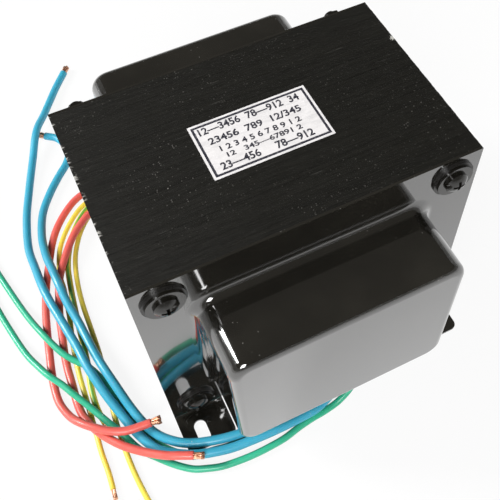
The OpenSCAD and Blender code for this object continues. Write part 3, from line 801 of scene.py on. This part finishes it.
@dataclass
class LeadBundle:
    """The nine leads: blue and green ones from the front outlet, the rest from the rear.

    The fields are diameters over the sleeve, in mm.
    """

    blue: float = 4.0
    green: float = 3.0
    red: float = 3.6
    yellow: float = 2.4
    earth: float = 2.8

    def leads(self) -> list[Lead]:
        """Lists the leads, each with its length, its place in the bore and the points it runs through."""
        return [
            Lead("blue_lead_a", LeadColour.BLUE, Outlet.FRONT, self.blue, 360.0, (1.4, -0.3), [
                (12.5, -58.5, 13.4), (9.5, -61, 8.9), (3.5, -64, 6.7), (-4, -67, 5.5), (-11, -69, 4.9),
                (-21, -69.5, 4.8), (-31, -69.5, 4.8), (-41, -69, 4.8), (-51, -68, 4.8), (-62.5, -65, 5.3),
                (-70.5, -61, 5.3), (-77.5, -55.5, 4.8), (-81.5, -49, 4.8), (-84.5, -41.5, 4.9),
                (-87, -33, 5.5), (-89.5, -24, 7.2), (-91.5, -15, 8.2), (-93, -6.5, 8.6), (-94, 3, 8),
                (-95.5, 12.5, 6.8), (-97, 22, 6.3), (-98.5, 31, 6.3), (-99.5, 41, 6.3), (-100, 54, 4.1),
                (-100, 68, 2.3), (-96, 86, 2.1), (-90, 103, 2.1), (-82.5, 121, 3.5), (-75.5, 136, 6.3),
                (-68, 149, 3.6), (-57, 166, 2.1), (-49, 176, 2.1),
            ]),
            Lead("blue_lead_b", LeadColour.BLUE, Outlet.FRONT, self.blue, 307.0, (0, 4.3), [
                (11, -53, 13.2), (7, -54, 8.9), (0.5, -56.5, 6.6), (-7, -59.5, 5.4), (-15, -62, 4.9),
                (-27, -64, 4.8), (-39.5, -64.5, 4.8), (-49, -63.5, 4.8), (-58.5, -61, 4.8), (-66, -58, 4.8),
                (-72, -53.5, 4.8), (-76.5, -48, 4.8), (-80, -40, 4.8), (-82.5, -31, 5.5),
                (-84.5, -21.5, 7.1), (-86.5, -11.5, 7.6), (-88, -2, 6.2), (-89, 7.5, 5.5), (-90, 17, 5.7),
                (-91.5, 28, 7.1), (-92, 38, 8.8), (-92.5, 47.5, 8.1), (-93, 57, 6.6), (-92, 70, 4.3),
                (-88, 84.5, 2.3), (-81.5, 95, 2.1), (-74, 104, 2.1), (-67, 111.5, 2.1), (-63.5, 120, 2.1),
                (-66.5, 129.5, 2.1), (-72, 134.5, 2.1),
            ]),
            Lead("green_lead_a", LeadColour.GREEN, Outlet.FRONT, self.green, 284.0, (-2.2, 1), [
                (8.5, -57, 12.8), (5, -59, 6.9), (-0.5, -61.5, 3.2), (-6, -63.5, 1.9), (-12, -65, 1.6),
                (-20, -66.5, 1.6), (-30, -67, 1.6), (-40, -66.5, 1.6), (-50, -66, 1.6), (-58, -64.5, 1.6),
                (-63.5, -64, 1.6), (-67.5, -62, 1.6), (-71.5, -58.5, 1.6), (-75.5, -54, 1.6),
                (-79.5, -48, 1.6), (-82.5, -41, 1.6), (-84.5, -33, 2), (-86, -27.5, 3.1), (-87, -22, 4.2),
                (-88.5, -16.5, 4.6), (-90.5, -11, 4.7), (-93, -6, 4.8), (-96.5, -2, 4.9),
                (-100.5, 3.5, 5.5), (-103.5, 10, 5.5), (-106.5, 18, 5.5), (-110, 29, 3.5), (-113, 41, 1.9),
                (-117, 59.5, 1.6), (-120.5, 78, 1.6), (-122.5, 96, 1.6), (-121.5, 113, 1.6),
            ]),
            Lead("green_lead_b", LeadColour.GREEN, Outlet.FRONT, self.green, 285.0, (-0.5, -4), [
                (11, -64, 14), (7.5, -67.5, 8), (0.5, -69.5, 3), (-7, -70.5, 1.6), (-13.5, -71, 1.6),
                (-20.5, -72, 1.6), (-28, -73.5, 1.6), (-36, -74, 1.6), (-43, -74, 1.6), (-49.5, -73.5, 1.6),
                (-56.5, -72.5, 1.6), (-62.5, -70.5, 1.6), (-68, -68, 1.6), (-74, -63, 1.6),
                (-80, -56.5, 1.6), (-85, -50.5, 2), (-88, -44.5, 3.6), (-90, -40, 4.4), (-92.5, -35.5, 4.8),
                (-95, -30.5, 4.9), (-98.5, -23.5, 5.2), (-102, -17, 5.6), (-105.5, -10, 5.6),
                (-109.5, -3.5, 5.6), (-112.5, 3, 4.7), (-116, 12, 2.9), (-119, 24, 1.7), (-122.5, 42, 1.6),
                (-125.5, 62, 1.6), (-127.5, 82, 1.6), (-128, 101, 1.6),
            ]),
            Lead("red_lead_a", LeadColour.RED, Outlet.REAR, self.red, 249.0, (0, 4.3), [
                (-12, 60, 13), (-14, 66, 7), (-20, 74, 2.7), (-29.5, 81.5, 1.9), (-41, 86.5, 1.9),
                (-52, 89, 1.9), (-62, 88.5, 1.9), (-69.5, 86.5, 1.9), (-76.5, 81.5, 1.9), (-83.5, 74, 1.9),
                (-88.5, 66, 1.9), (-93, 56, 1.9), (-98, 44, 1.9), (-102, 31.5, 1.9), (-105, 18.5, 1.9),
                (-107, 8, 1.9), (-108.5, 0, 1.9), (-109.5, -8, 1.9), (-109.5, -16, 2.1), (-107, -24.5, 4.4),
                (-103.5, -30.5, 7.4), (-98.5, -36, 8.9), (-93.5, -40, 8.9), (-87.5, -43, 8.9),
                (-81.5, -44, 8.9), (-76.5, -44.5, 8.9),
            ], Twist(fray=0.16)),
            Lead("red_lead_b", LeadColour.RED, Outlet.REAR, self.red, 243.0, (0, -4.3), [
                (-13, 50.5, 13), (-17.5, 54, 6.5), (-26, 60, 2.6), (-37, 66.5, 1.9), (-48, 71, 1.9),
                (-58, 73, 2.7), (-66, 72.5, 4.7), (-71.5, 69, 5), (-77.5, 63.5, 5), (-83.5, 55.5, 5),
                (-89.5, 46, 4.6), (-92.5, 39, 4.6), (-95, 32, 3.1), (-97.5, 23.5, 1.9), (-99, 15, 1.9),
                (-100.5, 7, 1.9), (-101.5, -1, 1.9), (-102, -10, 1.9), (-102.5, -19, 2), (-102, -26, 3.3),
                (-100.5, -30.5, 4.4), (-98.5, -36, 4.9), (-95, -41.5, 4.9), (-90, -48, 6), (-83, -54.5, 7),
                (-76, -60, 8.6), (-70.5, -63, 9.3), (-65.5, -65.5, 9.5),
            ]),
            Lead("yellow_lead_a", LeadColour.YELLOW, Outlet.REAR, self.yellow, 237.0, (2.4, 1.7), [
                (-10, 56.5, 13), (-12.5, 61.5, 6.2), (-19.5, 68.5, 1.8), (-28, 75, 1.3), (-38.5, 80.5, 1.3),
                (-50, 83.5, 1.3), (-60, 84, 1.3), (-68.5, 81, 1.3), (-75.5, 75.5, 1.3), (-82, 68, 1.3),
                (-87, 59.5, 1.3), (-90.5, 47.5, 1.3), (-91, 39, 1.3), (-92, 31, 1.3), (-93.5, 21, 1.3),
                (-95.5, 11, 1.3), (-97, 1, 1.3), (-98, -9, 1.3), (-98.5, -19, 1.3), (-99, -28, 1.3),
                (-99.5, -37, 1.3), (-100, -45, 1.3), (-100, -53.5, 1.3), (-100.5, -61, 1.3),
            ]),
            Lead("yellow_lead_b", LeadColour.YELLOW, Outlet.REAR, self.yellow, 236.0, (-2.2, 0.8), [
                (-15.5, 56, 13), (-20, 60, 6), (-28.5, 66, 1.9), (-39, 71.5, 1.3), (-50, 75.5, 1.3),
                (-60, 76.5, 1.3), (-66.5, 74, 1.3), (-73, 67.5, 1.3), (-78, 59.5, 1.3), (-81.5, 51, 1.3),
                (-84, 40, 1.3), (-85.5, 27, 1.3), (-86, 11.5, 1.3), (-86.5, -1.5, 1.3), (-88, -17, 1.3),
                (-90, -33.5, 1.3), (-90.5, -46.5, 1.3), (-90.5, -54.5, 1.3), (-90, -63, 1.3),
                (-89, -72, 1.3), (-87.5, -82, 1.3),
            ]),
            Lead("earth_lead", LeadColour.EARTH, Outlet.REAR, self.earth, 201.0, (2, -1.5), [
                (-10.5, 53.5, 13), (-14, 58, 6.5), (-21, 65, 2), (-30, 71.5, 1.5), (-40, 76, 1.5),
                (-50, 79, 1.5), (-60, 80, 1.5), (-67, 78, 1.5), (-75, 70.5, 1.5), (-81, 61, 1.5),
                (-85.5, 50, 1.5), (-88, 37, 1.5), (-90, 22, 1.5), (-91.5, 8, 1.5), (-93, -5, 1.5),
                (-95, -16, 1.5), (-95.5, -26, 1.5), (-94.5, -33, 1.5),
            ]),
        ]

    def dress(self, palette: Palette) -> int:
        """Makes every lead, and tells how many pieces that were."""
        return sum(lead.dress(palette.sleeves[lead.colour], palette.strand) for lead in self.leads())


@dataclass
class SheetStack:
    """The laminations: E and I sheets, turned end for end packet by packet.

    Lengths are in mm. Each sheet stands off the stack by up to wander, and its I bar is
    cut back by setback at the ends and by seam where it meets the E.
    """

    sheets_per_packet: int = 8
    setback: float = 0.04
    seam: float = 0.02
    wander: float = 0.02
    lift_share: float = 0.6
    gap: float = 0.03
    seed: int = 166

    def outline(self, upside: bool, shift: float) -> list[list[Place]]:
        """Draws one E sheet and its I bar.

        Args:
            upside: Whether the E stands on its yoke.
            shift: How far this sheet stands off the stack, in mm.

        Returns:
            The E's corners and the I's corners, anticlockwise from the front.
        """
        u, half, low, high = CORE.unit, CORE.width / 2, CORE.bottom, CORE.top
        e = [(-half, high), (-half, low + u), (-2 * u, low + u), (-2 * u, high - u), (-u, high - u),
             (-u, low + u), (u, low + u), (u, high - u), (2 * u, high - u), (2 * u, low + u),
             (half, low + u), (half, high)]
        end, foot, head = half - self.setback, low + self.setback, low + u - self.seam
        i = [(-end, head), (-end, foot), (end, foot), (end, head)]
        drawn = []
        for sheet in (e, i):
            moved = [(x + shift, (low + high - z if upside else z) + shift * self.lift_share)
                     for x, z in sheet]
            drawn.append(moved[::-1] if upside else moved)
        return drawn

    def mesh(self, varnish: bpy.types.Material) -> bpy.types.Object:
        """Makes the stack, with a tone of its own for each sheet.

        Args:
            varnish: Its material.

        Returns:
            The new object.
        """
        maker = MeshMaker("lamination_stack")
        chance = random.Random(self.seed)
        count = CORE.packets * self.sheets_per_packet
        pitch = CORE.stack / count
        tones: list[float] = []
        for n in range(count):
            y0 = CORE.front + n * pitch
            y1 = y0 + pitch - self.gap
            upside = (n // self.sheets_per_packet) % 2 == 1
            tone = chance.random()
            for sheet in self.outline(upside, chance.uniform(-self.wander, self.wander)):
                front = [maker.point(x, y0, z) for x, z in sheet]
                back = [maker.point(x, y1, z) for x, z in sheet]
                maker.face(front, flat=True)
                maker.face(back[::-1], flat=True)
                for k in range(len(sheet)):
                    j = (k + 1) % len(sheet)
                    maker.face([front[j], front[k], back[k], back[j]], flat=True)
                tones += [tone] * (2 * len(sheet))
        made = maker.build([varnish])
        made.data.attributes.new("tone", "FLOAT", "POINT").data.foreach_set("value", tones)
        return made

    def dress(self, palette: Palette) -> int:
        """Puts the stack in place of the solid packets.

        Args:
            palette: The part's materials.

        Returns:
            How many pieces were made.
        """
        stack = self.mesh(palette.varnish)
        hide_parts("e_lamination_packets", "i_lamination_packets")
        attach(stack, "root")
        log.info("%s: %d faces", stack.name, len(stack.data.polygons))
        return 1


@dataclass(frozen=True)
class Row:
    """A row of printing on the label, by its ends, its middle line and its height in mm."""

    words: str
    left: float
    right: float
    up: float
    tall: float


@dataclass
class RatingLabel:
    """A stuck-on label with a ruled border and rows of plain numbers, in mm."""

    width: float = 47.0
    depth: float = 26.0
    thick: float = 0.14
    glue: float = 0.01
    ink_lift: float = 0.012
    inset: float = 0.9
    rule: float = 0.95
    boldness: float = 0.028

    ROWS = (
        Row("12—3456  78—912  34", -20.6, 19.4, 9.0, 3.6),
        Row("23456  789  12/345", -18.8, 17.6, 3.6, 3.3),
        Row("1 2 3 4 5 6 7 8 9 1 2", -16.4, 15.4, -1.0, 2.7),
        Row("12   345—67891 2", -15.2, 14.2, -4.5, 2.4),
        Row("23—456     78—912", -19.2, 16.9, -8.5, 3.6),
    )

    def mesh(self, film: bpy.types.Material, ink: bpy.types.Material) -> bpy.types.Object:
        """Makes the label with its printing.

        Args:
            film: The label's own material.
            ink: The printing's material.

        Returns:
            The new object.
        """
        maker = MeshMaker("printed_label")
        x, y, z, middle = self.width / 2, self.depth / 2, CORE.top, CORE.middle_y
        maker.box((-x, middle - y, z + self.glue), (x, middle + y, z + self.thick))
        top = z + self.thick + self.ink_lift
        inset, rule = self.inset, self.rule
        for low, high in (
            ((-x + inset, -y + inset), (x - inset, -y + inset + rule)),
            ((-x + inset, y - inset - rule), (x - inset, y - inset)),
            ((-x + inset, -y + inset + rule), (-x + inset + rule, y - inset - rule)),
            ((x - inset - rule, -y + inset + rule), (x - inset, y - inset - rule)),
        ):
            strip = [(low[0], low[1]), (high[0], low[1]), (high[0], high[1]), (low[0], high[1])]
            maker.face([maker.point(a, middle + b, top) for a, b in strip], slot=1, flat=True)
        for row in self.ROWS:
            self.print_row(maker, row, middle, top)
        return maker.build([film, ink])

    def print_row(self, maker: MeshMaker, row: Row, middle: float, z: float) -> None:
        """Adds a row of printing to the label's mesh, drawn out from end to end.

        Args:
            maker: Takes the printing's faces.
            row: What is printed, and where.
            middle: The label's middle along Y, in mm.
            z: The height that it is printed at, in mm.
        """
        curve = bpy.data.curves.new("row", "FONT")
        curve.body = row.words
        curve.offset = self.boldness
        curve.resolution_u = 3
        written = put(bpy.data.objects.new("row", curve))
        bpy.context.view_layer.update()
        flat = written.evaluated_get(bpy.context.evaluated_depsgraph_get()).to_mesh()
        low = [min(v.co[k] for v in flat.vertices) for k in (0, 1)]
        high = [max(v.co[k] for v in flat.vertices) for k in (0, 1)]
        wide = (row.right - row.left) / (high[0] - low[0])
        tall = row.tall / (high[1] - low[1])
        foot = middle + row.up - row.tall / 2
        first = [maker.point(row.left + (v.co.x - low[0]) * wide, foot + (v.co.y - low[1]) * tall, z)
                 for v in flat.vertices]
        for polygon in flat.polygons:
            stroke = [first[i] for i in polygon.vertices]
            if polygon.normal.z < 0:
                stroke.reverse()
            maker.face(stroke, slot=1, flat=True)
        written.to_mesh_clear()
        bpy.data.objects.remove(written)
        bpy.data.curves.remove(curve)

    def dress(self, palette: Palette) -> int:
        """Puts the label in place of its solid.

        Args:
            palette: The part's materials.

        Returns:
            How many pieces were made.
        """
        label = self.mesh(palette.label, palette.ink)
        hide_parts("rating_label")
        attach(label, "root")
        log.info("%s: %d faces", label.name, len(label.data.polygons))
        return 1


@dataclass
class PlainSolids:
    """The solids whose own shape is right, and which only need their finish.

    The edges of BROKEN_EDGES get a fillet of edge_width mm where they turn by more than
    edge_turn degrees.
    """

    nodes: dict[str, bpy.types.Object]
    edge_width: float = 0.18
    edge_turn: float = 35.0

    BROKEN_EDGES = ("clamp_bolts", "hex_nuts", "flat_washers")

    def dress(self, palette: Palette) -> int:
        """Gives each solid its material, and the fasteners a broken edge.

        Args:
            palette: The part's materials.

        Returns:
            How many solids were dressed.
        """
        finishes = (
            (palette.enamel, ("front_cover", "rear_cover")),
            (palette.fastener, ("clamp_bolts", "flat_washers", "spring_washers", "hex_nuts")),
            (palette.fibre, ("fibre_washers",)),
            (palette.board, ("bolt_sleeves",)),
            (palette.nylon, ("bobbin",)),
            (palette.winding, ("primary_winding", "auxiliary_winding", "secondary_winding_a",
                               "secondary_winding_b")),
            (palette.foil, ("screen_foil",)),
            (palette.film, ("layer_insulation", "outer_wrap")),
            (palette.rubber, ("front_grommet", "rear_grommet")),
        )
        for material, names in finishes:
            for name in names:
                mesh = self.nodes[name].data
                mesh.materials.clear()
                mesh.materials.append(material)
                log.info("%s: %s", name, material.name)
        for name in self.BROKEN_EDGES:
            edge = self.nodes[name].modifiers.new("broken_edge", "BEVEL")
            edge.width, edge.segments, edge.limit_method = self.edge_width * MM, 2, "ANGLE"
            edge.angle_limit = math.radians(self.edge_turn)
        return sum(len(names) for _, names in finishes)


@dataclass(frozen=True)
class Lamp:
    """A soft lamp: its place, its width and height in metres and its power in watts."""

    name: str
    place: Point
    size: tuple[float, float]
    power: float
    mirrored: bool = True

    def hang(self, aim: Vector) -> None:
        """Puts the lamp in the scene.

        Args:
            aim: What it points at, in metres.
        """
        data = bpy.data.lights.new(self.name, "AREA")
        data.shape, data.size, data.size_y, data.energy = "RECTANGLE", *self.size, self.power
        made = put(bpy.data.objects.new(self.name, data))
        made.location = self.place
        made.visible_glossy = self.mirrored
        made.rotation_euler = (aim - Vector(self.place)).to_track_quat("-Z", "Y").to_euler()


@dataclass
class Studio:
    """Camera, lamps, floor and backdrop, with their lengths in mm.

    The white surroundings show in the enamel by mirror_share, and fade away between the
    two heights of fade_up, as a backdrop does that is lit from below.
    """

    eye: Point = (-66.53, -165.27, 321.72)
    turned: Point = (33.011, 0.885, -26.150)
    lens: float = 54.544
    sensor: float = 36.0
    sight: tuple[float, float] = (10.0, 20000.0)
    shift: tuple[float, float] = (-0.0732, -0.0513)
    aim: Point = (0.0, 0.0, 50.0)
    floor_reach: float = 3000.0
    floor_z: float = -0.05
    floor_lit: float = 0.10
    wall_radius: float = 2900.0
    wall_steps: int = 48
    wall_heights: tuple[float, float] = (-0.04, 1700.0)
    mirror_share: float = 0.70
    fade_up: tuple[float, float] = (400.0, 550.0)
    sky: Colour = (1.0, 0.94, 0.82)
    sky_strength: float = 0.085

    LAMPS = (
        Lamp("key", (-0.55, -0.80, 0.85), (0.45, 0.45), 13.0),
        Lamp("fill", (1.10, -0.30, 0.70), (0.4, 0.4), 4.0, mirrored=False),
        Lamp("window", (-0.95, 0.60, 0.75), (0.30, 0.55), 20.0),
    )

    def camera(self) -> None:
        """Makes the scene's camera."""
        data = bpy.data.cameras.new("camera")
        data.lens, data.sensor_width = self.lens, self.sensor
        data.shift_x, data.shift_y = self.shift
        data.clip_start, data.clip_end = (z * MM for z in self.sight)
        made = put(bpy.data.objects.new("camera", data))
        made.location = Vector(self.eye) * MM
        made.rotation_euler = [math.radians(a) for a in self.turned]
        bpy.context.scene.camera = made

    def white(self, name: str, lit_share: float) -> bpy.types.Material:
        """Makes a surface that shows white, and still takes a shadow where it is lit.

        Args:
            name: The material's name.
            lit_share: The share of the surface that is lit as it lies.

        Returns:
            The material.
        """
        g = Graph(name)
        ray = g.add("ShaderNodeLightPath").outputs
        height = g.add("ShaderNodeSeparateXYZ", {0: g.here()}).outputs[2]
        low, high = (z * MM for z in self.fade_up)
        mirrored = g.most(ray["Is Glossy Ray"], ray["Is Transmission Ray"])
        fading = g.times(mirrored, g.range(height, low, high, self.mirror_share, 0.0))
        seen = g.most(ray["Is Camera Ray"], fading)
        tint = g.blend(g.noise(1.5, 2.0), (0.80, 0.80, 0.80), (0.82, 0.82, 0.82))
        lit = g.add("ShaderNodeBsdfDiffuse", {"Color": tint}).outputs[0]
        glow = g.add("ShaderNodeEmission", {"Color": WHITE, "Strength": 1.0}).outputs[0]
        share = g.times(seen, 1.0 - lit_share)
        return g.close(g.add("ShaderNodeMixShader", {0: share, 1: lit, 2: glow}).outputs[0])

    def surroundings(self) -> None:
        """Makes the floor and a round backdrop, which are not part of the object."""
        floor = MeshMaker("studio_floor")
        reach = self.floor_reach
        square = ((-reach, -reach), (reach, -reach), (reach, reach), (-reach, reach))
        floor.face([floor.point(x, y, self.floor_z) for x, y in square], flat=True)
        wall = MeshMaker("studio_backdrop")
        low, high = [], []
        for k in range(self.wall_steps):
            a = 2 * math.pi * k / self.wall_steps
            for edge, z in zip((low, high), self.wall_heights):
                edge.append(wall.point(self.wall_radius * math.cos(a), self.wall_radius * math.sin(a), z))
        for k in range(self.wall_steps):
            n = (k + 1) % self.wall_steps
            wall.face([low[n], low[k], high[k], high[n]])
        floor_white, wall_white = self.white("floor_white", self.floor_lit), self.white("backdrop_white", 0.0)
        floor.build([floor_white])
        wall.build([wall_white])

    def light(self) -> None:
        """Sets the lamps, the world and how colours are shown."""
        world = bpy.data.worlds.new("studio")
        world.use_nodes = True
        background = world.node_tree.nodes["Background"].inputs
        background["Color"].default_value = (*self.sky, 1.0)
        background["Strength"].default_value = self.sky_strength
        bpy.context.scene.world = world
        bpy.context.scene.view_settings.view_transform = "Standard"
        for lamp in self.LAMPS:
            lamp.hang(Vector(self.aim) * MM)

    def dress(self) -> None:
        """Sets up the whole studio."""
        self.camera()
        self.surroundings()
        self.light()


def corners(box: tuple[Vector, Vector]) -> list[list[float]]:
    """Writes a box's lowest and highest corners as plain numbers."""
    return [list(box[0]), list(box[1])]


def main() -> None:
    """Dresses the part."""
    logging.basicConfig(level=logging.INFO, format="%(name)s: %(message)s")
    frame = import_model()
    palette = Palette()
    Studio().dress()
    for assembly in (LeadBundle(), SheetStack(), RatingLabel(), PlainSolids(frame["nodes"])):
        log.info("%s: %d pieces", type(assembly).__name__, assembly.dress(palette))


if __name__ == "__main__":
    main()
